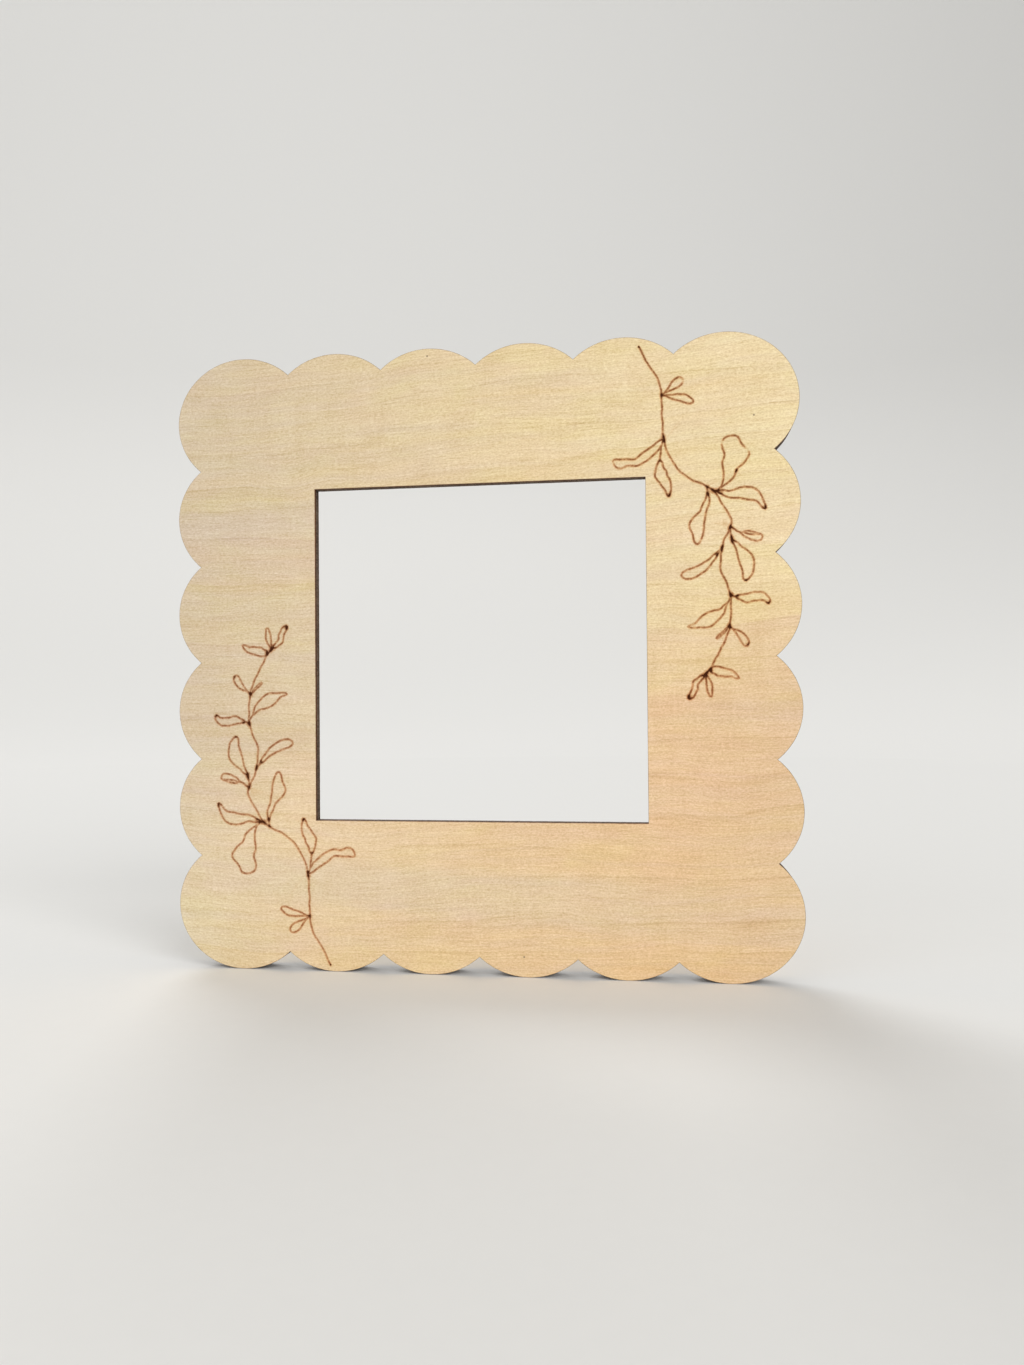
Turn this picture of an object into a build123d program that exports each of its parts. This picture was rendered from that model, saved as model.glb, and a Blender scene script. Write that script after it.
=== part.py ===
from build123d import *
from math import sqrt
import os

# A square photo frame with a scalloped edge, laser-cut from three-ply wood, that magnets hold
# upright on a steel surface. It is two boards deep: a front panel with a square window, and
# behind it a U-shaped spacer whose gap takes a print from above and whose corners hold magnets.
#
# Millimetres. X runs to the right, Z up. The back of the frame lies on the plane Y = 0, around
# the origin, and the front faces -Y.

# Plywood: two outer veneers with a thicker core between them
outer_veneer = 0.9
core_veneer = 1.2
board_thickness = 2 * outer_veneer + core_veneer

# Window in the front panel, with equal side rails and a bottom rail deeper than the top one
window_width = 80.9
window_height = 81.5
side_rail = 35.55
top_rail = 33.35
bottom_rail = 36.85
window_rise = (bottom_rail - top_rail) / 2
window_bottom = window_rise - window_height / 2

# Outline: equal elliptical lobes, with one shared by the two sides at each corner
lobes_per_side = 6
lobe_half_width = 16.9
lobe_half_height = 15.9
frame_width = window_width + 2 * side_rail
frame_height = window_height + top_rail + bottom_rail
lobe_span_x = frame_width - 2 * lobe_half_width
lobe_span_z = frame_height - 2 * lobe_half_height
lobe_pitch_x = lobe_span_x / (lobes_per_side - 1)
lobe_pitch_z = lobe_span_z / (lobes_per_side - 1)
corner_cusp_x = (lobe_span_x - lobe_pitch_x) / 2
corner_cusp_rise = lobe_half_height * sqrt(1 - (lobe_pitch_x / 2 / lobe_half_width) ** 2)
corner_cusp_z = lobe_span_z / 2 + corner_cusp_rise

# Slot in the spacer: a print stands on its floor, behind the window, and goes in from above,
# where the slot flares out to the cusps beside the corner lobes
print_overlap = 4.0
print_clearance = 0.8
slot_flare_depth = 10.0
slot_width = window_width + 2 * (print_overlap + print_clearance)
slot_floor = window_bottom - print_overlap
slot_top = frame_height / 2
slot_height = slot_top - slot_floor
slot_flare_start = corner_cusp_z - slot_flare_depth

# Disc magnets: glued to the front panel through the spacer's corner lobes, flush with its back
magnet_diameter = 10.0
magnet_edge_chamfer = 0.3
magnet_glue_gap = 0.15
magnet_thickness = board_thickness


def add_scalloped_outline():
    """Add the lobes, and the rectangle through their centres, to the open sketch."""
    Rectangle(lobe_span_x, lobe_span_z)
    with GridLocations(lobe_pitch_x, lobe_span_z, lobes_per_side, 2):
        Ellipse(lobe_half_width, lobe_half_height)
    with GridLocations(lobe_span_x, lobe_pitch_z, 2, lobes_per_side - 2):
        Ellipse(lobe_half_width, lobe_half_height)


def draw_front_panel():
    """Draw the front panel: the scalloped outline less its square window."""
    add_scalloped_outline()
    with Locations((0, window_rise)):
        Rectangle(window_width, window_height, mode=Mode.SUBTRACT)


def draw_spacer():
    """Draw the spacer: the same outline less the slot, open at the top, and the magnet seats."""
    add_scalloped_outline()
    with Locations((0, slot_floor)):
        Rectangle(slot_width, slot_height, align=(Align.CENTER, Align.MIN), mode=Mode.SUBTRACT)
    Polygon(
        (-slot_width / 2, slot_flare_start),
        (-corner_cusp_x, corner_cusp_z),
        (-corner_cusp_x, slot_top),
        (corner_cusp_x, slot_top),
        (corner_cusp_x, corner_cusp_z),
        (slot_width / 2, slot_flare_start),
        align=None,
        mode=Mode.SUBTRACT,
    )
    with GridLocations(lobe_span_x, lobe_span_z, 2, 2):
        Circle(magnet_diameter / 2 + magnet_glue_gap, mode=Mode.SUBTRACT)


def make_ply(name, draw, distance, thickness):
    """Write one sheet of a board, whose rear face lies at this distance from the back plane."""
    with BuildPart() as ply:
        with BuildSketch(Plane.XZ.offset(distance)):
            draw()
        extrude(amount=thickness)
    ply.part.label = name
    export_step(ply.part, f"parts/{name}.step")


def make_board(plies, draw, distance):
    """Write a board's three sheets, named from its back to its front."""
    for name, thickness in zip(plies, (outer_veneer, core_veneer, outer_veneer)):
        make_ply(name, draw, distance, thickness)
        distance += thickness


def make_magnet(name, x, z):
    """Write one disc magnet, its face flush with the back plane."""
    with BuildPart() as magnet:
        with BuildSketch(Plane.XZ):
            with Locations((x, z)):
                Circle(magnet_diameter / 2)
        extrude(amount=magnet_thickness)
        chamfer(magnet.edges(), magnet_edge_chamfer)
    magnet.part.label = name
    export_step(magnet.part, f"parts/{name}.step")


os.makedirs("parts", exist_ok=True)

make_board(("spacer_back_veneer", "spacer_core", "spacer_front_veneer"), draw_spacer, 0)
make_board(
    ("front_panel_back_veneer", "front_panel_core", "front_panel_face_veneer"),
    draw_front_panel,
    board_thickness,
)

for row, z in (("bottom", -lobe_span_z / 2), ("top", lobe_span_z / 2)):
    for side, x in (("left", -lobe_span_x / 2), ("right", lobe_span_x / 2)):
        make_magnet(f"magnet_{row}_{side}", x, z)
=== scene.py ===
import random
from math import acos, asin, atan2, ceil, cos, exp, hypot, pi, radians, sin

import bpy
import bmesh
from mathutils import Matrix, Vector, kdtree
from mathutils.geometry import delaunay_2d_cdt


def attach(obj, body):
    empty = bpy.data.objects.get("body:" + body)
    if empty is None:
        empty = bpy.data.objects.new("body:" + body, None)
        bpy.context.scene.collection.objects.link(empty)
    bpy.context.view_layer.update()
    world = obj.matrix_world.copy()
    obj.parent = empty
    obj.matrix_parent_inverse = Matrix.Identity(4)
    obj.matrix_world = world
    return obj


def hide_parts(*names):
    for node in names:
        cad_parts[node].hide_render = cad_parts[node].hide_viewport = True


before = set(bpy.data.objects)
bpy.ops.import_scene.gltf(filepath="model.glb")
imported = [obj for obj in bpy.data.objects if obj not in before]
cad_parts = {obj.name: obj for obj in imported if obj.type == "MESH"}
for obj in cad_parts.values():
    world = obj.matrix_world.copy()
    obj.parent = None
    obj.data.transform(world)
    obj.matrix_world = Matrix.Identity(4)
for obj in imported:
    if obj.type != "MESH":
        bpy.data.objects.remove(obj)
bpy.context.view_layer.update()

# A scalloped photo frame, laser-cut from three-ply wood and engraved with two leafy sprigs.
# Sizes are in millimetres, as in the CAD; every mesh is scaled to metres when it is made.
# X runs to the right, Z up, and the front faces -Y.
MM = 0.001

# The boards, from the CAD
OUTER_VENEER = 0.9
CORE_VENEER = 1.2
BOARD = 2 * OUTER_VENEER + CORE_VENEER
FRONT_Y, BACK_Y = -2 * BOARD, 0.0
FRAME_WIDTH, FRAME_HEIGHT = 152.0, 151.7
HALF_WIDTH = FRAME_WIDTH / 2
LOBES = 6
LOBE_HALF_WIDTH, LOBE_HALF_HEIGHT = 16.9, 15.9
SPAN_X = FRAME_WIDTH - 2 * LOBE_HALF_WIDTH
SPAN_Z = FRAME_HEIGHT - 2 * LOBE_HALF_HEIGHT
PITCH_X, PITCH_Z = SPAN_X / (LOBES - 1), SPAN_Z / (LOBES - 1)
WINDOW_HALF_WIDTH = 40.45
WINDOW_BOTTOM, WINDOW_TOP = -39.0, 42.5
SLOT_HALF_WIDTH = 45.25
SLOT_FLOOR = -43.0
SLOT_FLARE_DEPTH = 10.0
MAGNET_RADIUS = 5.0
MAGNET_GLUE_GAP = 0.15
MAGNET_ROUNDING = 0.3

# How finely the boards' rims are drawn, and how the laser left them
RIM_STEP = 0.45
EDGE_BEVEL = 0.05
# The laser's ripple: its least depth, how much deeper it gets, and a point's own and next share in it
RIPPLE_START = 0.01
STRIATION_DEPTH = 0.03
OWN_SHARE, NEXT_SHARE = 0.6, 0.4
# Points of a face that lie this near each other become one
MERGE_DISTANCE = 0.001
# Bands of scorch beside a cut, on the front and on a back: how far in, and how dark
EDGE_SCORCH = ((0.08, 0.35), (0.22, 0.0))
BACK_SMOKE = ((0.3, 0.7), (1.2, 0.3), (3.0, 0.0))
# A magnet's steps round its edge, its flat rings as shares of its radius, and its sides
ROUNDING_STEPS = 6
DISC_RING_SHARES = (0.35, 0.7)
DISC_SIDES = 96
# The angle, in degrees, from which an edge is drawn sharp
BOARD_SHARP_ANGLE, DISC_SHARP_ANGLE, STAGE_SHARP_ANGLE = 35, 60, 80
# The slots of a sheet's materials
FACE_SLOT, WALL_SLOT, BACK_SLOT = 0, 1, 2

# The engraved line: how deep and wide its groove is, and how finely the face is divided beside it,
# along it and round its open ends
GROOVE_DEPTH = 0.12
GROOVE_HALF_WIDTH = 0.26
STROKE_OFFSETS = (0.08, 0.16, 0.26, 0.42, 0.7)
STROKE_STEP = 0.4
ROUND_END_STEPS = 6
# Points along a leaf's side, and the step at which strokes are searched for their nearest point
LEAF_SAMPLES = 120
SEARCH_STEP = 0.06
# How brown it is: where beside its middle the burn is strongest, how wide that is, and its haze
BURN_OFFSET, BURN_WIDTH = 0.09, 0.165
HAZE, HAZE_WIDTH = 0.08, 0.55
# How much the burn flickers along it, slowly and quickly
SLOW_FLICKER, QUICK_FLICKER = 0.12, 0.1
# How far the drawing hand trembled, slowly and quickly
SLOW_TREMBLE, QUICK_TREMBLE = 0.07, 0.015
# How much wider than its radius a dot's burn spreads, and how much deeper the laser cut there
DOT_SPREAD, DOT_DEPTH = 1.2, 0.08

# One sprig. Its stem, from where it starts at the top edge
STEM = (
    (39.2, 73.3), (41.6, 68.7), (43.7, 65.3), (44.4, 61.7), (44.5, 57.0), (44.8, 51.8), (45.6, 48.4),
    (47.6, 44.7), (50.5, 41.9), (53.1, 40.6), (54.8, 39.7), (56.3, 38.6), (57.9, 36.0), (59.4, 33.6),
    (60.2, 31.6), (60.0, 30.1), (58.7, 27.5), (58.1, 25.5), (57.6, 21.5), (57.9, 19.4), (59.0, 17.0),
    (59.8, 14.2), (59.9, 10.3), (59.6, 7.0), (58.7, 4.2), (56.5, -0.2), (55.1, -2.8), (53.8, -4.3),
)
# Its leaves: foot, tip, width, share of the blade where it is widest, bluntness of the tip,
# how far the middle bends to the left, how far it waves, and the share that is a bare stalk
LEAVES = (
    ((44.4, 61.6), (49.3, 65.3), 2.0, 0.72, 0.5, 0.0, 0.0, 0.15),
    ((44.5, 61.5), (51.7, 59.8), 1.6, 0.7, 0.4, 0.3, 0.0, 0.1),
    ((44.8, 51.2), (33.0, 46.1), 2.4, 0.65, 0.22, 1.9, -0.1, 0.02),
    ((44.7, 51.0), (45.9, 37.7), 2.8, 0.45, 0.8, -1.0, -0.25, 0.35),
    ((57.4, 38.9), (62.1, 51.0), 6.2, 0.77, 0.37, -0.7, -0.2, 0.04),
    ((56.8, 38.6), (68.0, 34.1), 2.8, 0.55, 0.55, 1.7, -0.6, 0.03),
    ((54.8, 39.6), (52.2, 26.2), 3.1, 0.66, 0.65, -0.2, 0.65, 0.06),
    ((60.0, 30.1), (67.2, 27.3), 1.9, 0.6, 0.3, -0.4, -0.1, 0.38),
    ((60.3, 27.1), (63.5, 17.6), 3.3, 0.62, 0.5, 1.55, 0.0, 0.0),
    ((58.0, 25.5), (48.7, 18.8), 2.4, 0.78, 0.45, 1.3, 0.0, 0.05),
    ((59.8, 14.3), (68.7, 12.5), 2.3, 0.6, 0.3, 0.3, -0.6, 0.15),
    ((59.8, 13.5), (49.9, 7.0), 2.9, 0.5, 0.9, 1.4, 0.1, 0.12),
    ((59.5, 6.9), (56.5, 4.1), 0.5, 0.6, 0.4, 0.0, 0.0, 0.1),
    ((59.5, 6.9), (63.6, 2.5), 1.8, 0.75, 0.4, 0.5, 0.0, 0.15),
    ((55.1, -2.9), (61.6, -5.2), 2.3, 0.36, 0.8, 0.15, -0.2, 0.0),
    ((53.8, -4.3), (50.0, -9.8), 1.7, 0.45, 0.5, -0.3, -0.45, 0.05),
    ((54.1, -4.3), (55.1, -9.5), 1.2, 0.5, 0.5, 0.2, 0.0, 0.05),
)
# Where a leaf's edge, drawn by hand, swells or draws in: by leaf, the side of the way to its tip
# (1 left, -1 right), the share of the blade, and how far out
NUDGES = {
    1: ((1, 0.4, 0.15), (1, 0.7, 0.2)),
    2: ((-1, 0.62, -0.75), (1, 0.78, -0.5), (1, 0.93, 0.4)),
    3: ((1, 0.2, -0.65), (1, 0.42, -0.55), (-1, 0.2, 0.2), (-1, 0.42, 0.55), (-1, 0.82, -0.35)),
    4: (
        (1, 0.2, -0.35), (1, 0.6, -0.6), (1, 0.86, 0.45),
        (-1, 0.2, 0.35), (-1, 0.42, -0.5), (-1, 0.76, 0.45), (-1, 0.93, -1.9),
    ),
    5: ((1, 0.2, -0.6), (1, 0.6, 0.2), (-1, 0.8, -0.35)),
    6: ((-1, 0.4, -0.35), (-1, 0.65, 0.3), (-1, 0.82, -0.7), (1, 0.4, -0.55), (1, 0.8, 0.4)),
    8: ((1, 0.2, -0.45), (1, 0.38, -0.25), (-1, 0.8, -0.3)),
    9: ((-1, 0.2, 0.4),),
    10: ((1, 0.6, -0.3), (1, 0.8, 0.1), (-1, 0.15, -0.4), (-1, 0.4, 0.2), (-1, 0.8, -0.5)),
    11: ((-1, 0.18, -0.45), (-1, 0.8, -0.6), (1, 0.6, 0.2)),
    14: ((-1, 0.2, -0.3), (-1, 0.45, -0.4), (-1, 0.7, -0.3)),
    15: ((-1, 0.2, -0.4), (1, 0.4, -0.4), (1, 0.65, -0.35)),
}
# How far such a swelling reaches each way, as a share of the blade
NUDGE_REACH = 0.11
# Two short lines more: the stalk below a fork, and one leaf's vein
STALK = ((60.0, 30.1), (60.0, 28.6), (60.3, 27.1))
VEIN = ((63.1, 28.7), (64.5, 28.3), (66.4, 28.1))
# The lines with open ends, which come first among the strokes
OPEN_LINES = (STEM, STALK, VEIN)
# Where the laser dwelt and burnt a darker dot: place, radius
DOTS = (
    ((39.2, 73.4), 0.16), ((44.4, 61.6), 0.4), ((44.7, 51.7), 0.5), ((44.9, 50.8), 0.3),
    ((43.9, 46.1), 0.3), ((46.0, 37.9), 0.45), ((54.8, 39.7), 0.4), ((55.0, 38.0), 0.4),
    ((56.1, 38.7), 0.6), ((57.1, 38.7), 0.45), ((58.0, 38.2), 0.4), ((67.9, 34.4), 0.4),
    ((59.9, 30.0), 0.5), ((60.2, 27.7), 0.4), ((60.4, 26.9), 0.5), ((58.0, 25.5), 0.35),
    ((58.0, 24.8), 0.3), ((56.8, 23.7), 0.35), ((63.4, 17.6), 0.3), ((60.0, 14.5), 0.5),
    ((59.9, 14.1), 0.35), ((61.4, 13.9), 0.35), ((68.5, 12.3), 0.35), ((59.4, 7.2), 0.4),
    ((59.7, 6.8), 0.35), ((63.6, 2.7), 0.3), ((55.2, -3.0), 0.4), ((55.3, -3.3), 0.3),
    ((53.8, -4.3), 0.6), ((54.3, -3.8), 0.4), ((50.2, -9.6), 0.5), ((50.0, -9.3), 0.35),
)
# One more dot, on this sprig alone, and where its lines fade for a short way, or darken where the
# share is below nothing: place, radius, share
LONE_DOT = ((61.5, 43.2), 0.35)
FADES = (
    ((41.2, 69.6), 3.2, -0.22), ((64.1, 48.1), 0.75, 1.1), ((58.3, 49.9), 0.5, 1.0),
    ((49.4, 64.9), 0.7, 0.7), ((33.0, 46.2), 0.6, 0.6), ((35.3, 44.7), 0.7, 0.5),
    ((60.6, 42.2), 0.3, 0.5), ((44.9, 46.9), 0.4, 0.4), ((53.3, 27.0), 0.4, 0.4),
    ((66.0, 14.6), 2.8, 0.25), ((50.8, 7.5), 2.6, 0.25), ((62.2, 3.6), 2.0, 0.2),
    ((60.6, -4.6), 2.6, 0.25), ((66.6, 27.8), 2.0, 0.2), ((49.6, 19.6), 2.0, 0.2),
    ((57.4, 5.2), 1.2, 0.2),
)
# How strongly the laser burnt this sprig, and the other
SPRIG_STRENGTH, OTHER_STRENGTH = 1.0, 0.88
# The other sprig is this one turned half round about this point
TURN_CENTRE = (1.1, -0.45)

# Where the grain curls round a small swirl, and how far it dips there
SWIRL_CENTRE = (-47.0, FRONT_Y, 45.0)
SWIRL_RADIUS = 10.0
SWIRL_DIP = 2.2
# The grain rises to the right from here on, and this many millimetres are needed to bend it
GRAIN_BEND, GRAIN_BEND_LENGTH = -42.0, 25.0
# How steeply it rises there at the bottom and at the top, and how far it drifts and waves
GRAIN_SLOPE_LOW, GRAIN_SLOPE_HIGH = 0.002, 0.07
GRAIN_DRIFT, GRAIN_WAVE = 9.0, 0.9
# The border between the board's lower and upper tones, the upper one brightest at the top right with
# painted light: how steeply it rises to the right, how far it drifts and, with the drift added, where it
# starts and ends
TONE_RISE, TONE_DRIFT = 0.28, 60.0
TONE_START, TONE_END = 2.0, 32.0
# A paler band of wood across the bottom rail: at what height, and how steeply it falls to the right
PALE_BAND_Z, PALE_BAND_FALL = -56.5, 0.06
# How far it wanders, where its soft edge starts and ends, and where and how far it fades
PALE_BAND_DRIFT = 12.0
PALE_BAND_INNER, PALE_BAND_OUTER = 3.5, 7.5
PALE_BAND_LEFT, PALE_BAND_RIGHT = -40.0, 60.0
PALE_BAND_STRONG, PALE_BAND_WEAK = 0.8, 0.35
# The wood's lightness before its fibres make it lighter or darker
BASE_LIGHT = 1.012
# Pin knots in the face: small dark specks
SPECKS = ((65.6, 56.0), (-11.9, 74.0), (10.8, -71.0))
SPECK_RADIUS = 0.3
# The glue lines that show on the cut walls: where along Y, half their width, and where they fade out
GLUE_LINES = (
    FRONT_Y + OUTER_VENEER,
    -BOARD - OUTER_VENEER,
    -BOARD,
    -BOARD + OUTER_VENEER,
    -OUTER_VENEER,
)
GLUE_HALF_WIDTH, GLUE_SOFT_EDGE = 0.05, 0.13
# Where each sheet starts and ends, from the front to the back
PLY_PLANES = (FRONT_Y,) + GLUE_LINES + (BACK_Y,)

# The stage: how far the flat floor reaches, how widely it sweeps up, at what height its wall ends,
# and where its rings lie
FLOOR_RADIUS, SWEEP_RADIUS, WALL_TOP = 900.0, 600.0, 1500.0
FLOOR_RINGS = (0, 150, 450, FLOOR_RADIUS)
SWEEP_STEPS = 16
STAGE_SIDES = 128
PAPER_SHADE = 0.985
# The lights: from where each comes, its strength, and how broad it is in degrees
SUNS = {
    "key": ((0.75, -0.85, 0.6), 1.6, 35),
    "fill": ((-0.7, -0.9, 0.5), 0.55, 50),
    "rear": ((-0.5, 0.85, 0.7), 1.5, 40),
}
# How brightly the studio lights the frame from below and from above, and how bright it looks itself
STUDIO_LOW, STUDIO_HIGH, STUDIO_SEEN = 0.3, 0.45, 0.85
# The camera: lens and sensor in millimetres, place in millimetres, turns in degrees, reach in metres
LENS, SENSOR_WIDTH = 27.03, 36.0
CAMERA_PLACE = (43.55, -248.71, -9.31)
CAMERA_TURNS = (90.863, 0.4386, 8.2535)
NEAREST_SEEN, FURTHEST_SEEN = 0.01, 20.0


# Outlines


def arc(cx, cz, start, end):
    """Points along a lobe's ellipse, counter-clockwise, with its last point left to the next arc."""
    count = ceil(abs(end - start) * LOBE_HALF_WIDTH / RIM_STEP)
    angles = (start + (end - start) * k / count for k in range(count))
    return [(cx + LOBE_HALF_WIDTH * cos(a), cz + LOBE_HALF_HEIGHT * sin(a)) for a in angles]


def scallops():
    """The lobes' arcs in order, counter-clockwise from the corner lobe at the top left."""
    across = acos(PITCH_X / 2 / LOBE_HALF_WIDTH)
    up = asin(PITCH_Z / 2 / LOBE_HALF_HEIGHT)
    x0, z0 = -SPAN_X / 2, -SPAN_Z / 2
    inner = range(1, LOBES - 1)
    arcs = [arc(x0, -z0, across, pi + up)]
    arcs += [arc(x0, -z0 - k * PITCH_Z, pi - up, pi + up) for k in inner]
    arcs += [arc(x0, z0, pi - up, 2 * pi - across)]
    arcs += [arc(x0 + k * PITCH_X, z0, pi + across, 2 * pi - across) for k in inner]
    arcs += [arc(-x0, z0, pi + across, 2 * pi + up)]
    arcs += [arc(-x0, z0 + k * PITCH_Z, -up, up) for k in inner]
    arcs += [arc(-x0, -z0, -up, pi - across)]
    arcs += [arc(-x0 - k * PITCH_X, -z0, across, pi - across) for k in inner]
    return arcs


def straight(points):
    """A run of straight lines through the points, divided evenly, without the last point."""
    line = []
    for (x0, z0), (x1, z1) in zip(points, points[1:]):
        count = max(1, ceil(hypot(x1 - x0, z1 - z0) / RIM_STEP))
        line += [(x0 + (x1 - x0) * k / count, z0 + (z1 - z0) * k / count) for k in range(count)]
    return line


def scalloped_rim():
    """The whole scalloped outline."""
    return [p for lobe in scallops() for p in lobe]


def window_rim():
    """The square window, clockwise, so that the wood lies on its left like the outline's."""
    w = WINDOW_HALF_WIDTH
    corners = [(-w, WINDOW_BOTTOM), (-w, WINDOW_TOP), (w, WINDOW_TOP), (w, WINDOW_BOTTOM)]
    return straight(corners + corners[:1])


def spacer_rim():
    """The scalloped outline without its inner top lobes, and the print slot that opens there."""
    lobes = scallops()
    kept = lobes[: 3 * LOBES - 2]
    cusp_x = (SPAN_X - PITCH_X) / 2
    cusp_z = SPAN_Z / 2 + LOBE_HALF_HEIGHT * (1 - (PITCH_X / 2 / LOBE_HALF_WIDTH) ** 2) ** 0.5
    flare_z = cusp_z - SLOT_FLARE_DEPTH
    w = SLOT_HALF_WIDTH
    right = [(cusp_x, cusp_z), (w, flare_z), (w, SLOT_FLOOR)]
    left = [(-x, z) for x, z in reversed(right)]
    return [p for lobe in kept for p in lobe] + straight(right + left)


def circle_rim(cx, cz, radius):
    """A round hole, clockwise."""
    count = ceil(2 * pi * radius / RIM_STEP)
    angles = (-2 * pi * k / count for k in range(count))
    return [(cx + radius * cos(a), cz + radius * sin(a)) for a in angles]


def mitres(rim):
    """For each point of a closed rim, the way into the wood that keeps its sides parallel."""
    ways = []
    for before, here, after in zip(rim[-1:] + rim[:-1], rim, rim[1:] + rim[:1]):
        a = Vector((here[0] - before[0], here[1] - before[1])).normalized()
        b = Vector((after[0] - here[0], after[1] - here[1])).normalized()
        left_a, left_b = Vector((-a.y, a.x)), Vector((-b.y, b.x))
        ways.append((left_a + left_b) / (1 + left_a.dot(left_b)))
    return ways


def inset(rim, ways, depths):
    """The rim moved into the wood, each point by its own depth."""
    return [(x + w.x * d, z + w.y * d) for (x, z), w, d in zip(rim, ways, depths)]


# The engraving


def spline(p, q, r, s, t):
    """A smooth curve's value at the share t of its way from q to r, between p and s."""
    bend = 2 * p - 5 * q + 4 * r - s
    twist = 3 * q - p - 3 * r + s
    return 0.5 * (2 * q + (r - p) * t + bend * t * t + twist * t ** 3)


def smooth(points):
    """A smooth line through the points."""
    line = []
    padded = (points[0],) + tuple(points) + (points[-1],)
    for a, b, c, d in zip(padded, padded[1:], padded[2:], padded[3:]):
        count = max(1, round(hypot(c[0] - b[0], c[1] - b[1]) / STROKE_STEP))
        for k in range(count):
            line.append(tuple(spline(p, q, r, s, k / count) for p, q, r, s in zip(a, b, c, d)))
    line.append(tuple(points[-1]))
    return line


def even(points, step):
    """The same line with its points a step apart, and its last one kept past a third of a step."""
    line, left = [points[0]], step
    for (x0, z0), (x1, z1) in zip(points, points[1:]):
        length = hypot(x1 - x0, z1 - z0)
        while length >= left:
            share = left / length
            x0, z0 = x0 + (x1 - x0) * share, z0 + (z1 - z0) * share
            length -= left
            left = step
            line.append((x0, z0))
        left -= length
    if hypot(line[-1][0] - points[-1][0], line[-1][1] - points[-1][1]) > step / 3:
        line.append(points[-1])
    return line


def half_width(number, side, share, width, belly, blunt):
    """Half a leaf's width on one side, nudges included, at this share of its blade's length."""
    if share <= 0:
        return 0
    rise = blunt * belly / (1 - belly)
    half = width / 2 * (share / belly) ** rise * (max(0.0, 1 - share) / (1 - belly)) ** blunt
    for nudged, place, amount in NUDGES.get(number, ()):
        if nudged == side and share < 1:
            half += amount * exp(-(((share - place) / NUDGE_REACH) ** 2))
    return half


def leaf(number, foot, tip, width, belly, blunt, bend, wave, stalk):
    """A leaf's outline from its foot round its tip and back."""
    dx, dz = tip[0] - foot[0], tip[1] - foot[1]
    reach = hypot(dx, dz)
    nx, nz = -dz / reach, dx / reach
    shares = [sin(pi / 2 * k / LEAF_SAMPLES) for k in range(LEAF_SAMPLES + 1)]
    sides = []
    for side in (1, -1):
        line = []
        for t in shares:
            blade = max(0.0, (t - stalk) / (1 - stalk))
            off = bend * 4 * t * (1 - t) + wave * sin(2 * pi * t)
            off += side * half_width(number, side, blade, width, belly, blunt)
            line.append((foot[0] + dx * t + nx * off, foot[1] + dz * t + nz * off))
        sides.append(line)
    there, back = sides
    start = next(k for k, t in enumerate(shares) if t >= stalk)
    return even(there + back[start:][::-1], STROKE_STEP)


def shaken(line, number):
    """The same line with the slight tremble of a hand."""
    moved = []
    for x, z in line:
        across = SLOW_TREMBLE * sin(1.7 * z + 0.9 * x + number) + QUICK_TREMBLE * sin(6.1 * z - 2 * x)
        up = SLOW_TREMBLE * sin(1.5 * x - 0.7 * z + 2 * number) + QUICK_TREMBLE * sin(5.3 * x + 1.7 * z)
        moved.append((x + across, z + up))
    return moved


def sprig():
    """The strokes of one sprig, the open lines first."""
    strokes = [even(smooth(points), STROKE_STEP) for points in OPEN_LINES]
    strokes += [leaf(number, *shape) for number, shape in enumerate(LEAVES)]
    return [shaken(stroke, number) for number, stroke in enumerate(strokes)]


def turned(line):
    """A line of the one sprig, turned half round to make the other's."""
    return [(2 * TURN_CENTRE[0] - x, 2 * TURN_CENTRE[1] - z) for x, z in line]


def lane(stroke, offset):
    """A line beside a stroke, this far to its left."""
    line = []
    for before, here, after in zip(stroke[:1] + stroke[:-1], stroke, stroke[1:] + stroke[-1:]):
        dx, dz = after[0] - before[0], after[1] - before[1]
        length = hypot(dx, dz) or 1
        line.append((here[0] - dz / length * offset, here[1] + dx / length * offset))
    return line


def round_end(end, before, offset):
    """A half circle round the open end of a stroke, this far out."""
    way = atan2(end[1] - before[1], end[0] - before[0])
    turns = (way + pi * (k / ROUND_END_STEPS - 0.5) for k in range(ROUND_END_STEPS + 1))
    return [(end[0] + offset * cos(a), end[1] + offset * sin(a)) for a in turns]


def groove(distance):
    """The depth of the engraving at this distance from a stroke's middle."""
    share = min(1.0, distance / GROOVE_HALF_WIDTH)
    return GROOVE_DEPTH * (1 - share * share * (3 - 2 * share))


def scorch_of_stroke(distance):
    """How brown the wood is at this distance from a stroke's middle."""
    line = exp(-((abs(distance - BURN_OFFSET) / BURN_WIDTH) ** 2))
    return line + HAZE * exp(-((distance / HAZE_WIDTH) ** 2))


def finder(points):
    """A search tree over points of the face."""
    tree = kdtree.KDTree(len(points))
    for k, (x, z) in enumerate(points):
        tree.insert((x, z, 0), k)
    tree.balance()
    return tree


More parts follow.
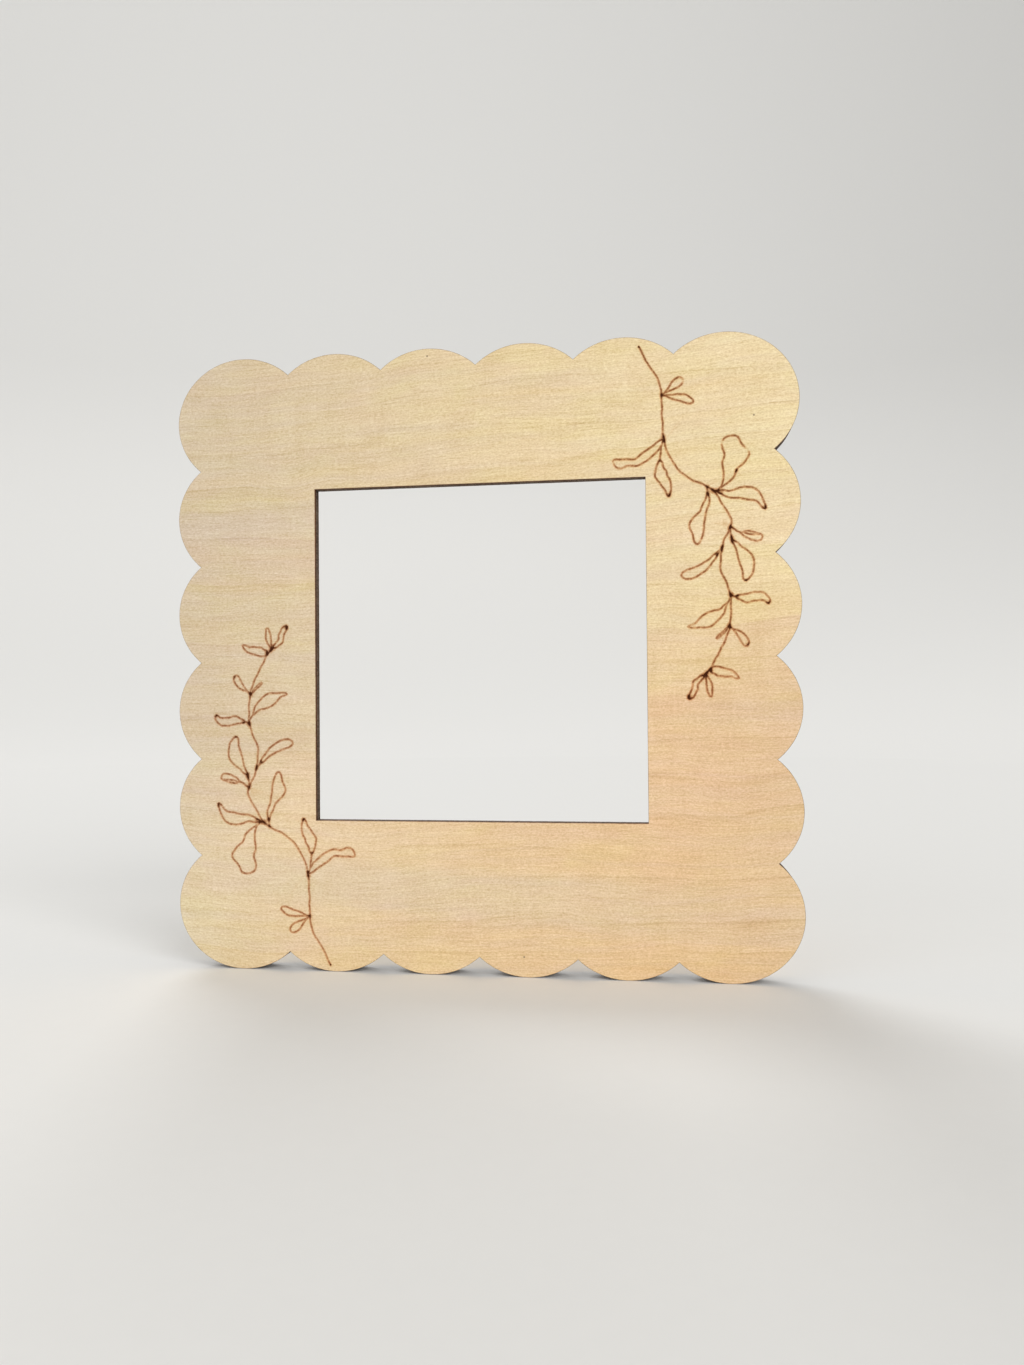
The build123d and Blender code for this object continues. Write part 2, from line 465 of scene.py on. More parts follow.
class Engraving:
    """Both sprigs, with what is needed to ask how deep and how burnt a point of the face is."""

    def __init__(self):
        one = sprig()
        strokes = one + [turned(line) for line in one]
        self.lines = []
        for stroke in strokes:
            self.lines.append(stroke)
            for offset in STROKE_OFFSETS:
                self.lines += [lane(stroke, offset), lane(stroke, -offset)]
        for line in one[:len(OPEN_LINES)]:
            for stroke in (line, turned(line)):
                for offset in STROKE_OFFSETS:
                    self.lines.append(round_end(stroke[0], stroke[1], offset))
                    self.lines.append(round_end(stroke[-1], stroke[-2], offset))
        self.tree = finder([p for stroke in strokes for p in even(stroke, SEARCH_STEP)])
        self.dots = list(DOTS) + [LONE_DOT]
        self.dots += [(turned([place])[0], radius) for place, radius in DOTS]

    def at(self, x, z):
        """Depth in millimetres, and burn from 0 to about 2, at a point of the face."""
        nearest = self.tree.find((x, z, 0))
        distance = nearest[2]
        if distance > STROKE_OFFSETS[-1]:
            return 0.0, 0.0
        sx, sz = nearest[0].xy
        slow, quick = sin(2.3 * sx + 1.7 * sz), sin(5.9 * sz - 4.1 * sx)
        uneven = 1 + SLOW_FLICKER * slow + QUICK_FLICKER * quick
        faded = OTHER_STRENGTH if x < TURN_CENTRE[0] else SPRIG_STRENGTH
        for (fx, fz), radius, share in FADES:
            faded -= share * exp(-(((sx - fx) ** 2 + (sz - fz) ** 2) / radius ** 2))
        faded = max(0.0, faded)
        burn = scorch_of_stroke(distance) * uneven * faded
        depth = groove(distance) * faded
        for (dx, dz), radius in self.dots:
            near = exp(-(((x - dx) ** 2 + (z - dz) ** 2) / (DOT_SPREAD * radius) ** 2))
            burn += near
            if distance < GROOVE_HALF_WIDTH:
                depth += DOT_DEPTH * near
        return depth, burn


# Meshes


def inside_rims(faces, rim_edges):
    """Which triangles lie in the wood: outside at the hull, and the other way round past each rim."""
    sides = {}
    for number, face in enumerate(faces):
        for pair in zip(face, face[1:] + face[:1]):
            sides.setdefault(frozenset(pair), []).append(number)
    inside = {}
    for edge, owners in sides.items():
        if len(owners) == 1:
            inside[owners[0]] = edge in rim_edges
    reached = list(inside)
    while reached:
        number = reached.pop()
        face = faces[number]
        for pair in zip(face, face[1:] + face[:1]):
            edge = frozenset(pair)
            for other in sides[edge]:
                if other not in inside:
                    inside[other] = inside[number] != (edge in rim_edges)
                    reached.append(other)
    return [face for number, face in enumerate(faces) if inside[number]]


def striations(rim, seed):
    """How far the laser's ripple sets each point of a rim back, the same through the sheet."""
    rng = random.Random(seed)
    raw = [rng.random() for point in rim]
    shared = [OWN_SHARE * own + NEXT_SHARE * after for own, after in zip(raw, raw[1:] + raw[:1])]
    return [RIPPLE_START + STRIATION_DEPTH * ripple for ripple in shared]


class Drawing:
    """The lines that divide one face of a sheet, each with how scorched the wood is on it."""

    def __init__(self):
        self.points, self.levels, self.edges = [], [], []

    def add(self, line, level, closed):
        first, count = len(self.points), len(line)
        self.points += line
        self.levels += [level] * count
        steps = range(count if closed else count - 1)
        self.edges += [(first + k, first + (k + 1) % count) for k in steps]


def cap(bm, rings, loops, y, material, layers, bands, engraving):
    """Fill one face of a sheet between its rim rings, with scorched bands and any engraving."""
    burn, scorch = layers
    drawn = Drawing()
    for ring in rings:
        drawn.add([(v.co.x, v.co.z) for v in ring], 1.0, True)
    own = [v for ring in rings for v in ring]
    rim_count = len(drawn.edges)
    for depth, level in bands:
        for rim, ways, ripple in loops:
            drawn.add(inset(rim, ways, [depth + r for r in ripple]), level, True)
    for line in engraving.lines if engraving else ():
        drawn.add(line, 0.0, False)
    corners = [Vector(p) for p in drawn.points]
    divided = delaunay_2d_cdt(corners, drawn.edges, [], 0, MERGE_DISTANCE)
    found, lines, faces, origins, sources = divided[:5]
    rim_edges = set()
    for line, source in zip(lines, sources):
        if any(k < rim_count for k in source):
            rim_edges.add(frozenset(line))
    tree = finder(drawn.points)
    verts = []
    for p, origin in zip(found, origins):
        mine = [k for k in origin if k < len(own)]
        if mine:
            verts.append(own[mine[0]])
            continue
        depth, burnt = engraving.at(p.x, p.y) if engraving else (0.0, 0.0)
        v = bm.verts.new((p.x, y + depth, p.y))
        v[burn] = burnt
        # Where two lines cross, the nearest point that was drawn gives the level
        nearest = origin[0] if origin else tree.find((p.x, p.y, 0))[1]
        v[scorch] = drawn.levels[nearest]
        verts.append(v)
    for face in inside_rims(faces, rim_edges):
        made = bm.faces.new([verts[k] for k in face])
        made.material_index = material
        made.smooth = True
    bmesh.ops.delete(bm, geom=[v for v in verts if not v.link_faces], context="VERTS")


def wall(bm, loop, levels, scorch):
    """The rippled wall along one rim, through these levels: its rings of points, from the front."""
    rim, ways, ripple = loop
    stack = []
    for depth, y in levels:
        line = inset(rim, ways, [depth + r for r in ripple])
        ring = [bm.verts.new((x, y, z)) for x, z in line]
        for v in ring:
            v[scorch] = 1.0
        stack.append(ring)
    for low, high in zip(stack, stack[1:]):
        for k in range(len(low)):
            n = (k + 1) % len(low)
            face = bm.faces.new((low[k], low[n], high[n], high[k]))
            face.material_index = WALL_SLOT
            face.smooth = True
    return stack


def ply(name, rims, y_front, y_back, materials, seed, front=(), back=(), engraving=None):
    """One sheet of a board, as a closed mesh: two faces, fine bevels and rippled walls.

    front and back give the scorched bands of a face that shows; a face that is glued has none.
    """
    bm = bmesh.new()
    layers = [bm.verts.layers.float.new(n) for n in ("burn", "scorch")]
    loops = [(rim, mitres(rim), striations(rim, seed + k)) for k, rim in enumerate(rims)]
    levels = (
        (EDGE_BEVEL, y_front),
        (0.0, y_front + EDGE_BEVEL),
        (0.0, y_back - EDGE_BEVEL),
        (EDGE_BEVEL, y_back),
    )
    stacks = [wall(bm, loop, levels, layers[1]) for loop in loops]
    cap(bm, [s[0] for s in stacks], loops, y_front, FACE_SLOT, layers, front, engraving)
    back_slot = BACK_SLOT if back else FACE_SLOT
    cap(bm, [s[-1] for s in stacks], loops, y_back, back_slot, layers, back, None)
    bmesh.ops.recalc_face_normals(bm, faces=bm.faces)
    return piece(name, bm, materials)


def piece(name, bm, materials, sharp=BOARD_SHARP_ANGLE):
    """Make an object in metres from a mesh in millimetres."""
    bmesh.ops.scale(bm, vec=(MM, MM, MM), verts=bm.verts)
    mesh = bpy.data.meshes.new(name)
    bm.to_mesh(mesh)
    bm.free()
    for material in materials:
        mesh.materials.append(material)
    mesh.set_sharp_from_angle(angle=radians(sharp))
    obj = bpy.data.objects.new(name, mesh)
    bpy.context.scene.collection.objects.link(obj)
    return obj


def circle(radius, count):
    """Points round a circle about the origin, counter-clockwise."""
    turns = (2 * pi * k / count for k in range(count))
    return [(radius * cos(a), radius * sin(a)) for a in turns]


def disc(name, cx, cz, material):
    """A magnet: a turned disc with rounded edges, its back face on Y = 0."""
    bm = bmesh.new()
    r, e = MAGNET_RADIUS, MAGNET_ROUNDING
    turns = (pi / 2 * k / ROUNDING_STEPS for k in range(ROUNDING_STEPS + 1))
    profile = [(r * share, 0.0) for share in DISC_RING_SHARES]
    profile += [(r - e + e * sin(a), e - e * cos(a)) for a in turns]
    profile += [(radius, BOARD - depth) for radius, depth in reversed(profile)]
    rings = []
    for radius, depth in profile:
        ring = circle(radius, DISC_SIDES)
        rings.append([bm.verts.new((cx + x, -depth, cz + z)) for x, z in ring])
    for low, high in zip(rings, rings[1:]):
        for k in range(DISC_SIDES):
            n = (k + 1) % DISC_SIDES
            bm.faces.new((low[k], low[n], high[n], high[k])).smooth = True
    for ring, depth in ((rings[0], 0.0), (rings[-1], BOARD)):
        middle = bm.verts.new((cx, -depth, cz))
        for k in range(DISC_SIDES):
            bm.faces.new((ring[k], ring[(k + 1) % DISC_SIDES], middle)).smooth = True
    bmesh.ops.recalc_face_normals(bm, faces=bm.faces)
    return piece(name, bm, [material], sharp=DISC_SHARP_ANGLE)


# Materials. A noise takes its place, scaled from millimetres, then its detail, roughness and distortion


def linear(channel):
    """One channel of a colour, 0 to 255 on a screen, as Blender's linear value."""
    share = channel / 255
    return share / 12.92 if channel <= 10 else ((share + 0.055) / 1.055) ** 2.4


def srgb(r, g, b):
    """A colour written as it looks on a screen, 0 to 255, as the linear colour that Blender uses."""
    return (linear(r), linear(g), linear(b), 1.0)


def grey(level):
    """A neutral colour of this linear level."""
    return (level, level, level, 1.0)


def halfway(a, b):
    """The colour half way between two."""
    return tuple((p + q) / 2 for p, q in zip(a, b))


class Nodes:
    """The nodes of one material, in short calls that take numbers or other nodes' outputs."""

    def __init__(self, owner):
        owner.use_nodes = True
        self.tree = owner.node_tree
        self.tree.nodes.clear()

    def add(self, kind, inputs=(), output=0, **settings):
        """Add a node, set or link its inputs by name or place, and return one of its outputs."""
        node = self.tree.nodes.new("ShaderNode" + kind)
        for key, value in settings.items():
            setattr(node, key, value)
        for key, value in inputs.items() if isinstance(inputs, dict) else enumerate(inputs):
            if isinstance(value, bpy.types.NodeSocket):
                self.tree.links.new(value, node.inputs[key])
            else:
                node.inputs[key].default_value = value
        return node.outputs[output] if node.outputs else None

    def math(self, operation, *values):
        return self.add("Math", values, operation=operation)

    def times(self, vector, x, y, z):
        return self.add("VectorMath", (vector, (x, y, z)), operation="MULTIPLY")

    def noise(self, vector, detail=2.0, roughness=0.5, distortion=0.0):
        settings = {
            "Vector": vector, "Scale": 1.0, "Detail": detail,
            "Roughness": roughness, "Distortion": distortion,
        }
        return self.add("TexNoise", settings)

    def span(self, value, low, high, to_low=0.0, to_high=1.0):
        """The value's way from low to high, held at the ends."""
        return self.add("MapRange", (value, low, high, to_low, to_high), clamp=True)

    def mix(self, factor, a, b, blend="MIX"):
        return self.add("Mix", {0: factor, 6: a, 7: b}, 2, data_type="RGBA", blend_type=blend)

    def ramp(self, factor, stops, interpolation="LINEAR"):
        """Colours by position along a ramp."""
        output = self.add("ValToRGB", (factor,))
        ramp = output.node.color_ramp
        ramp.interpolation = interpolation
        while len(ramp.elements) < len(stops):
            ramp.elements.new(1.0)
        for element, (position, colour) in zip(ramp.elements, stops):
            element.position, element.color = position, colour
        return output

    def finish(self, shader_inputs, bump=None, bump_mm=0.0):
        """End in the standard shader, with a bump of this height where one is given."""
        inputs = dict(shader_inputs)
        if bump is not None:
            relief = {"Height": bump, "Distance": bump_mm * MM, "Strength": 1.0}
            inputs["Normal"] = self.add("Bump", relief)
        shader = self.add("BsdfPrincipled", inputs)
        self.add("OutputMaterial", (shader,))


def millimetres(n):
    """The place on the object in millimetres, and its X, Y and Z."""
    place = n.times(n.add("TexCoord", (), "Object"), 1 / MM, 1 / MM, 1 / MM)
    parts = n.add("SeparateXYZ", (place,)).node.outputs
    return place, parts[0], parts[1], parts[2]


def grain_place(n, seed):
    """The place, and one whose Z follows the grain: level at the bottom, rising to the right above."""
    place, x, y, z = millimetres(n)
    slope = n.span(z, -HALF_WIDTH, HALF_WIDTH, GRAIN_SLOPE_LOW, GRAIN_SLOPE_HIGH)
    right = n.math("SMOOTH_MAX", x, GRAIN_BEND, GRAIN_BEND_LENGTH)
    level = n.math("SUBTRACT", z, n.math("MULTIPLY", right, slope))
    drift = n.noise(n.times(place, 0.014, 0.0, 0.022), 2.0, 0.5)
    level = n.math("ADD", level, n.math("MULTIPLY", drift, GRAIN_DRIFT))
    wave = n.noise(n.times(place, 0.06, 0.0, 0.05), 1.0, 0.5)
    level = n.math("ADD", level, n.math("MULTIPLY", wave, GRAIN_WAVE))
    off = n.add("VectorMath", (place, SWIRL_CENTRE), 1, operation="DISTANCE")
    level = n.math("ADD", level, n.span(off, 0.0, SWIRL_RADIUS, SWIRL_DIP, 0.0))
    return place, n.add("CombineXYZ", (x, seed, level))


def wood_tone_and_painted_light(n, x, z, broad):
    """The veneer's tone by place, partly the wood's own and partly painted light from the right: greyer
    to the left, brightest at the top right, redder below it.
    """
    right = n.span(x, -HALF_WIDTH, HALF_WIDTH)
    # Both tones are greyer and darker at the left, and the upper one is brightest at the top right:
    # partly the wood's own tone, partly painted light falling from the right
    low = n.ramp(right, (
        (0.0, srgb(219, 203, 171)), (0.2, srgb(229, 206, 170)), (0.5, srgb(229, 202, 161)),
        (0.8, srgb(229, 198, 156)), (1.0, srgb(225, 196, 156)),
    ))
    high = n.ramp(right, (
        (0.0, srgb(212, 195, 167)), (0.6, srgb(231, 210, 170)), (1.0, srgb(237, 218, 175)),
    ))
    above = n.math("MULTIPLY_ADD", x, -TONE_RISE, z)
    above = n.math("MULTIPLY_ADD", broad, TONE_DRIFT, above)
    tone = n.mix(n.span(above, TONE_START, TONE_END), low, high)
    off = n.math("ADD", n.math("MULTIPLY_ADD", x, PALE_BAND_FALL, z), -PALE_BAND_Z)
    off = n.math("MULTIPLY_ADD", n.math("SUBTRACT", broad, 0.5), PALE_BAND_DRIFT, off)
    pale = n.span(n.math("ABSOLUTE", off), PALE_BAND_INNER, PALE_BAND_OUTER, 1.0, 0.0)
    shown = n.span(x, PALE_BAND_LEFT, PALE_BAND_RIGHT, PALE_BAND_STRONG, PALE_BAND_WEAK)
    return n.mix(n.math("MULTIPLY", pale, shown), tone, srgb(221, 202, 173))


def tinted_wood(n, place, grain, broad):
    """The veneer's tone, painted light from the right included, with slow, faint changes of hue along the
    grain.
    """
    parts = n.add("SeparateXYZ", (place,)).node.outputs
    tint = n.ramp(broad, (
        (0.33, srgb(251, 250, 255)), (0.42, srgb(255, 254, 252)), (0.5, srgb(255, 253, 248)),
        (0.56, srgb(253, 251, 252)), (0.66, srgb(255, 252, 245)),
    ))
    colour = n.mix(1.0, wood_tone_and_painted_light(n, parts[0], parts[2], broad), tint, "MULTIPLY")
    blush = n.ramp(n.noise(n.times(grain, 0.05, 9.0, 0.14), 4.0, 0.6, 0.6), (
        (0.32, srgb(255, 252, 255)), (0.5, srgb(255, 254, 254)), (0.68, srgb(254, 255, 248)),
    ))
    return n.mix(1.0, colour, blush, "MULTIPLY")


def year_rings(n, colour, grain, broad):
    """The colour with each year's own tint, and how light each year's ring is, where they show."""
    level = n.add("SeparateXYZ", (grain,), 2)
    years = n.math("MULTIPLY_ADD", broad, 1.5, n.math("MULTIPLY", level, 0.12))
    ring = n.ramp(n.math("FRACT", years), (
        (0.0, grey(0.6)), (0.5, grey(0.5)), (0.93, grey(0.42)), (0.97, grey(0.0)), (1.0, grey(0.6)),
    ))
    shown = n.span(n.noise(n.times(grain, 0.02, 5.0, 0.2), 1.0, 0.5), 0.38, 0.58, 0.3, 1.0)
    ring = n.mix(shown, grey(0.5), ring)
    year = n.add("TexWhiteNoise", {"W": n.math("FLOOR", years)}, noise_dimensions="1D")
    band = n.ramp(year, (
        (0.0, srgb(254, 250, 252)), (0.5, srgb(255, 254, 253)), (1.0, srgb(254, 252, 243)),
    ))
    return n.mix(shown, colour, n.mix(1.0, colour, band, "MULTIPLY")), ring


def wood_light(n, place, grain, fibre, ring):
    """How light the wood is, from its fibres, flecks and rings down to short dark dashes and pores."""
    flecks = n.noise(n.times(grain, 1.1, 3.0, 3.3), 2.0, 0.6)
    sanding = n.noise(n.times(place, 2.3, 0.0, 2.7), 1.0, 0.5)
    streak = n.noise(n.times(grain, 0.05, 1.0, 1.2), 3.0, 0.65)
    mottle = n.noise(n.times(place, 0.16, 0.0, 0.07), 2.0, 0.6, 0.8)
    curl = n.span(n.noise(n.times(place, 0.28, 0.0, 0.07), 2.0, 0.5), 0.58, 0.76, 0.5, 0.0)
    layers = (
        (fibre, 0.42), (flecks, 0.64), (sanding, 0.42), (streak, 0.28),
        (mottle, 0.15), (ring, 0.26), (curl, 0.07),
    )
    light = BASE_LIGHT
    for layer, amount in layers:
        light = n.math("MULTIPLY_ADD", n.math("SUBTRACT", layer, 0.5), amount, light)
    dashes = n.span(n.noise(n.times(grain, 0.22, 7.0, 2.9), 1.0, 0.5), 0.64, 0.76, 1.0, 0.9)
    pores = n.span(n.noise(n.times(grain, 1.4, 3.0, 4.0), 1.0, 0.5), 0.7, 0.8, 1.0, 0.84)
    return n.math("MULTIPLY", light, n.math("MULTIPLY", dashes, pores))


def wood_colour(n, seed):
    """The pale wood of a sanded veneer: its colour, with painted light from the right in its tone, and
    the height of its fibres.
    """
    place, grain = grain_place(n, seed)
    broad = n.noise(n.times(grain, 0.009, 1.0, 0.11), 3.0, 0.55)
    colour = tinted_wood(n, place, grain, broad)
    colour, ring = year_rings(n, colour, grain, broad)
    fibre = n.noise(n.times(grain, 0.13, 1.0, 2.9), 2.0, 0.6, 0.1)
    light = wood_light(n, place, grain, fibre, ring)
    return n.add("VectorMath", (colour, lit_wood(n, light)), operation="MULTIPLY"), fibre


def lit_wood(n, light):
    """How a lighter or darker fibre scales red, green and blue: the darker ones are browner."""
    red, green, blue = (n.math("POWER", light, power) for power in (0.72, 1.0, 1.55))
    return n.add("CombineXYZ", (red, green, blue))


def burnt_colour(n, colour):
    """The wood's colour scorched along the cuts and burnt brown in the engraving, and the burn."""
    scorch = n.add("Attribute", (), 2, attribute_name="scorch")
    burn = n.add("Attribute", (), 2, attribute_name="burn")
    place = millimetres(n)[0]
    grit = n.noise(n.times(place, 3.0, 3.0, 3.0), 2.0, 0.6)
    breath = n.noise(n.times(place, 0.16, 0.16, 0.16), 3.0, 0.6)
    edge = n.math("MULTIPLY", scorch, n.span(grit, 0.3, 0.7, 0.5, 1.0))
    edge = n.math("MULTIPLY", edge, n.span(breath, 0.35, 0.65, 0.35, 1.0))
    colour = n.mix(edge, colour, srgb(138, 104, 70))
    beads = n.noise(n.times(place, 1.5, 1.5, 1.5), 1.0, 0.5)
    dark = n.math("MULTIPLY", burn, n.span(grit, 0.25, 0.75, 0.8, 1.1))
    dark = n.math("MULTIPLY", dark, n.span(beads, 0.3, 0.7, 0.6, 1.25))
    stain = n.ramp(dark, (
        (0.0, srgb(255, 255, 255)), (0.12, srgb(251, 245, 238)), (0.5, srgb(224, 194, 173)),
        (0.9, srgb(192, 151, 130)), (1.0, srgb(180, 136, 112)),
    ))
    stained = n.mix(1.0, colour, stain, "MULTIPLY")
    return n.mix(n.span(burn, 0.95, 1.7), stained, srgb(72, 34, 12)), burn


def engraved_face(seed):
    """The front of the frame: sanded wood with browned lines."""
    material = bpy.data.materials.new("veneer_face")
    n = Nodes(material)
    colour, fibre = wood_colour(n, seed)
    colour, burn = burnt_colour(n, colour)
    for x, z in SPECKS:
        off = n.add("VectorMath", (millimetres(n)[0], (x, FRONT_Y, z)), 1, operation="DISTANCE")
        colour = n.mix(n.span(off, 0.4 * SPECK_RADIUS, SPECK_RADIUS, 0.75, 0.0), colour, srgb(96, 62, 38))
    rough = n.span(fibre, 0.3, 0.7, 0.62, 0.72)
    sheen = n.span(burn, 0.0, 1.0, 0.3, 0.06)
    n.finish({"Base Color": colour, "Roughness": rough, "Specular IOR Level": sheen}, fibre, 0.02)
    return material


def smoked_face(name, seed):
    """The back of a board: the same wood with the laser's smoke along its cuts."""
    material = bpy.data.materials.new(name)
    n = Nodes(material)
    colour, fibre = wood_colour(n, seed)
    scorch = n.add("Attribute", (), 2, attribute_name="scorch")
    place = millimetres(n)[0]
    cloud = n.noise(n.times(place, 0.35, 0.35, 0.35), 3.0, 0.6)
    smoke = n.math("MULTIPLY", scorch, n.span(cloud, 0.3, 0.7, 0.45, 1.0))
    colour = n.mix(smoke, colour, srgb(120, 84, 54))
    rough = n.span(fibre, 0.3, 0.7, 0.66, 0.76)
    n.finish({"Base Color": colour, "Roughness": rough, "Specular IOR Level": 0.3}, fibre, 0.03)
    return material


def glue_line(n):
    """How near a cut wall's point is to a glue line: 1 on it, 0 away from it."""
    y = millimetres(n)[2]
    nearest = BOARD
    for joint in GLUE_LINES:
        off = n.math("ABSOLUTE", n.math("SUBTRACT", y, joint))
        nearest = n.math("MINIMUM", off, nearest)
    return n.span(nearest, GLUE_HALF_WIDTH, GLUE_SOFT_EDGE, 1.0, 0.0)


def charred_wall(name, dark, light, seed):
    """A wall cut by the laser: brown char, rippled and streaked along the beam."""
    material = bpy.data.materials.new(name)
    n = Nodes(material)
    place = millimetres(n)[0]
    shifted = n.add("VectorMath", (place, (seed, seed, seed)), operation="ADD")
    streaks = n.noise(n.times(shifted, 2.6, 0.12, 2.6), 3.0, 0.6)
    patches = n.noise(n.times(shifted, 0.12, 0.5, 0.12), 2.0, 0.5)
    grit = n.noise(n.times(shifted, 7.0, 7.0, 7.0), 2.0, 0.6)
    level = n.math("ADD", n.math("MULTIPLY", streaks, 0.6), n.math("MULTIPLY", patches, 0.25))
    level = n.math("ADD", level, n.math("MULTIPLY", grit, 0.15))
    colour = n.ramp(level, ((0.3, dark), (0.52, halfway(dark, light)), (0.72, light)))
    glue = n.math("MULTIPLY", glue_line(n), n.span(grit, 0.3, 0.7, 0.5, 0.85))
    colour = n.mix(glue, colour, srgb(30, 19, 12))
    height = n.math("ADD", streaks, n.math("MULTIPLY", grit, 0.3))
    rough = n.span(level, 0.3, 0.7, 0.85, 0.6)
    n.finish({"Base Color": colour, "Roughness": rough, "Specular IOR Level": 0.12}, height, 0.08)
    return material


def nickel():
    """Satin nickel plate, faintly scuffed."""
    material = bpy.data.materials.new("nickel_plate")
    n = Nodes(material)
    place = millimetres(n)[0]
    cloud = n.noise(n.times(place, 0.5, 0.5, 0.5), 3.0, 0.6)
    scuffs = n.noise(n.times(place, 9.0, 9.0, 0.7), 3.0, 0.7)
    colour = n.mix(cloud, srgb(196, 194, 188), srgb(176, 173, 166))
    rough = n.math("ADD", n.span(cloud, 0.3, 0.7, 0.2, 0.3), n.span(scuffs, 0.45, 0.75, 0.0, 0.14))
    n.finish({"Base Color": colour, "Metallic": 1.0, "Roughness": rough}, scuffs, 0.01)
    return material


# Stage, light and camera


def plain(name, colour):
    """Matt studio paper."""
    material = bpy.data.materials.new(name)
    n = Nodes(material)
    grain = n.noise(n.times(millimetres(n)[0], 0.3, 0.3, 0.3), 2.0, 0.5)
    shade = tuple(c * PAPER_SHADE for c in colour[:3]) + (1.0,)
    paper = n.mix(grain, colour, shade)
    n.finish({"Base Color": paper, "Roughness": 0.9, "Specular IOR Level": 0.1})
    return material


def turned_sheet(name, profile, material):
    """A surface turned about the vertical line through the frame, from its inner to its outer edge."""
    bm = bmesh.new()
    rings = []
    for radius, z in profile:
        if radius == 0:
            rings.append([bm.verts.new((0, 0, z))] * STAGE_SIDES)
        else:
            rings.append([bm.verts.new((x, y, z)) for x, y in circle(radius, STAGE_SIDES)])
    for low, high in zip(rings, rings[1:]):
        for k in range(STAGE_SIDES):
            n = (k + 1) % STAGE_SIDES
            corners = [low[k], low[n], high[n], high[k]]
            if low[k] == low[n]:
                corners = [low[k], high[n], high[k]]
            bm.faces.new(corners).smooth = True
    bmesh.ops.recalc_face_normals(bm, faces=bm.faces)
    return piece(name, bm, [material], sharp=STAGE_SHARP_ANGLE)


def stage():
    """A pale floor under the frame that sweeps up into a pale wall all round."""
    floor_z = -FRAME_HEIGHT / 2
    paper = plain("studio_paper", srgb(228, 227, 224))
    floor = turned_sheet("floor", [(radius, floor_z) for radius in FLOOR_RINGS], paper)
    turns = [pi / 2 * k / SWEEP_STEPS for k in range(SWEEP_STEPS + 1)]
    profile = [
        (FLOOR_RADIUS + SWEEP_RADIUS * sin(a), floor_z + SWEEP_RADIUS - SWEEP_RADIUS * cos(a))
        for a in turns
    ]
    profile.append((FLOOR_RADIUS + SWEEP_RADIUS, WALL_TOP))
    backdrop = turned_sheet("backdrop", profile, paper)
    backdrop.visible_shadow = False
    backdrop.visible_diffuse = False


def sun(name, place, strength, angle):
    """A broad, soft light that comes from this direction."""
    light = bpy.data.lights.new(name, "SUN")
    light.energy, light.angle = strength, radians(angle)
    obj = bpy.data.objects.new(name, light)
    obj.rotation_euler = Vector(place).to_track_quat("Z", "Y").to_euler()
    bpy.context.scene.collection.objects.link(obj)


def lights():
    """Soft studio light: a key from the front right, a fill from the front left, and one behind."""
    for name, settings in SUNS.items():
        sun(name, *settings)
    world = bpy.data.worlds.new("studio")
    bpy.context.scene.world = world
    n = Nodes(world)
    up = n.add("SeparateXYZ", (n.add("TexCoord"),), 2)
    level = n.span(up, -0.3, 0.3, STUDIO_LOW, STUDIO_HIGH)
    rays = n.add("LightPath").node.outputs
    mirrored = n.math("MAXIMUM", rays["Is Glossy Ray"], rays["Is Transmission Ray"])
    direct = n.math("MAXIMUM", rays["Is Camera Ray"], mirrored)
    strength = n.add("Mix", {0: direct, 2: level, 3: STUDIO_SEEN}, data_type="FLOAT")
    background = n.add("Background", {"Color": srgb(250, 250, 249), "Strength": strength})
    n.add("OutputWorld", (background,))


def camera():
    """The photograph's view: from a little right of the middle, almost level."""
    data = bpy.data.cameras.new("camera")
    data.lens, data.sensor_width = LENS, SENSOR_WIDTH
    data.clip_start, data.clip_end = NEAREST_SEEN, FURTHEST_SEEN
    obj = bpy.data.objects.new("camera", data)
    obj.location = [part * MM for part in CAMERA_PLACE]
    obj.rotation_euler = [radians(turn) for turn in CAMERA_TURNS]
    bpy.context.scene.collection.objects.link(obj)
    bpy.context.scene.camera = obj
    bpy.context.scene.view_settings.view_transform = "Standard"


# The frame


def frame_materials():
    """The frame's materials, by the part that they cover."""
    return {
        "face": engraved_face(3.0),
        "back": smoked_face("veneer_back", 41.0),
        "panel_back": smoked_face("panel_back", 73.0),
        "red_wall": charred_wall("charred_face_veneer", srgb(58, 30, 16), srgb(130, 84, 52), 5.0),
        "core_wall": charred_wall("charred_core", srgb(34, 24, 18), srgb(132, 112, 94), 17.0),
        "grey_wall": charred_wall("charred_veneer", srgb(42, 28, 20), srgb(124, 98, 76), 29.0),
        "metal": nickel(),
    }


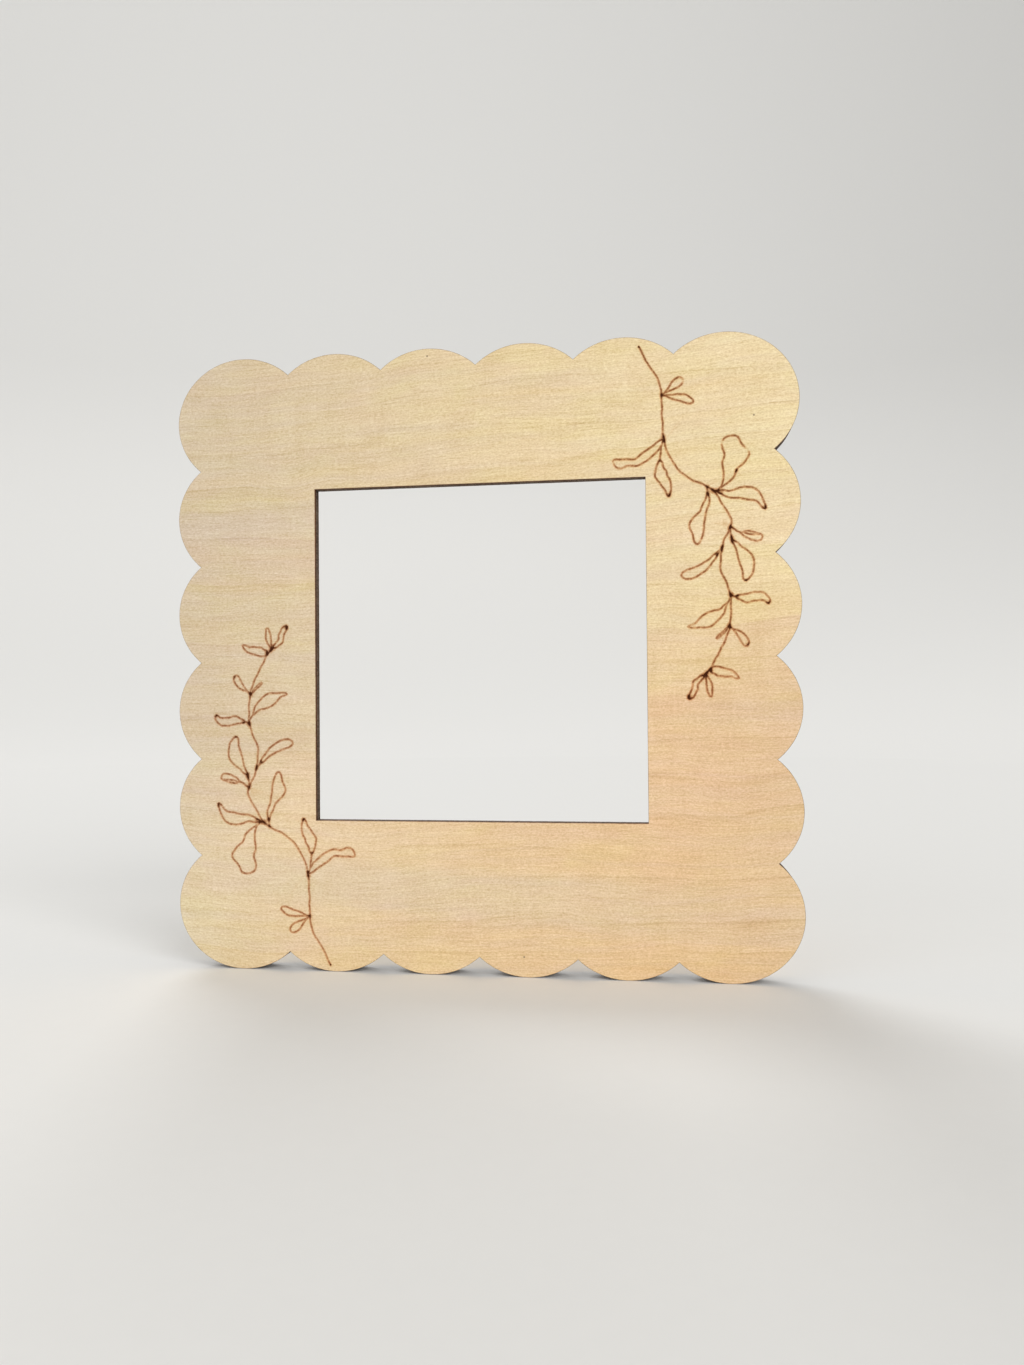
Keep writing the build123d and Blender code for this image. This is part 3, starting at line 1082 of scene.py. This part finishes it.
def front_board(look):
    """The front board's three sheets, each with its CAD node and slot."""
    rims = [scalloped_rim(), window_rim()]
    y = PLY_PLANES
    front = [look["face"], look["red_wall"], look["back"]]
    behind = [look["face"], look["grey_wall"], look["panel_back"]]
    core = [look["back"], look["core_wall"]]
    drawn = Engraving()
    face_sheet = ply("face_veneer", rims, y[0], y[1], front, 11, front=EDGE_SCORCH, engraving=drawn)
    core_sheet = ply("panel_core", rims, y[1], y[2], core, 21)
    back_sheet = ply("panel_back_veneer", rims, y[2], y[3], behind, 31, back=BACK_SMOKE)
    return [
        (face_sheet, "front_panel_face_veneer", "veneer"),
        (core_sheet, "front_panel_core", "core"),
        (back_sheet, "front_panel_back_veneer", "veneer"),
    ]


def spacer_board(look, seats):
    """The spacer board's three sheets, each with its CAD node and slot."""
    holes = [circle_rim(cx, cz, MAGNET_RADIUS + MAGNET_GLUE_GAP) for cx, cz in seats]
    rims = [spacer_rim()] + holes
    y = PLY_PLANES
    veneer = [look["face"], look["grey_wall"], look["back"]]
    core = [look["back"], look["core_wall"]]
    front_sheet = ply("spacer_front_sheet", rims, y[3], y[4], veneer, 41)
    core_sheet = ply("spacer_core_sheet", rims, y[4], y[5], core, 51)
    back_sheet = ply("spacer_back_sheet", rims, y[5], y[6], veneer, 61, back=BACK_SMOKE)
    return [
        (front_sheet, "spacer_front_veneer", "veneer"),
        (core_sheet, "spacer_core", "core"),
        (back_sheet, "spacer_back_veneer", "veneer"),
    ]


def magnets(look, seats):
    """The four magnets in their seats, each with its CAD node and slot."""
    made = []
    for (cx, cz), place in zip(seats, ("bottom_left", "bottom_right", "top_left", "top_right")):
        magnet = disc("disc_" + place, cx, cz, look["metal"])
        made.append((magnet, "magnet_" + place, "magnet"))
    return made


def build():
    """Make every piece, hang it under the root body, and hide the CAD node that it stands for."""
    look = frame_materials()
    seats = [(sx * SPAN_X / 2, sz * SPAN_Z / 2) for sz in (-1, 1) for sx in (-1, 1)]
    for obj, node, slot in front_board(look) + spacer_board(look, seats) + magnets(look, seats):
        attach(obj, "root")
        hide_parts(node)


camera()
stage()
lights()
build()
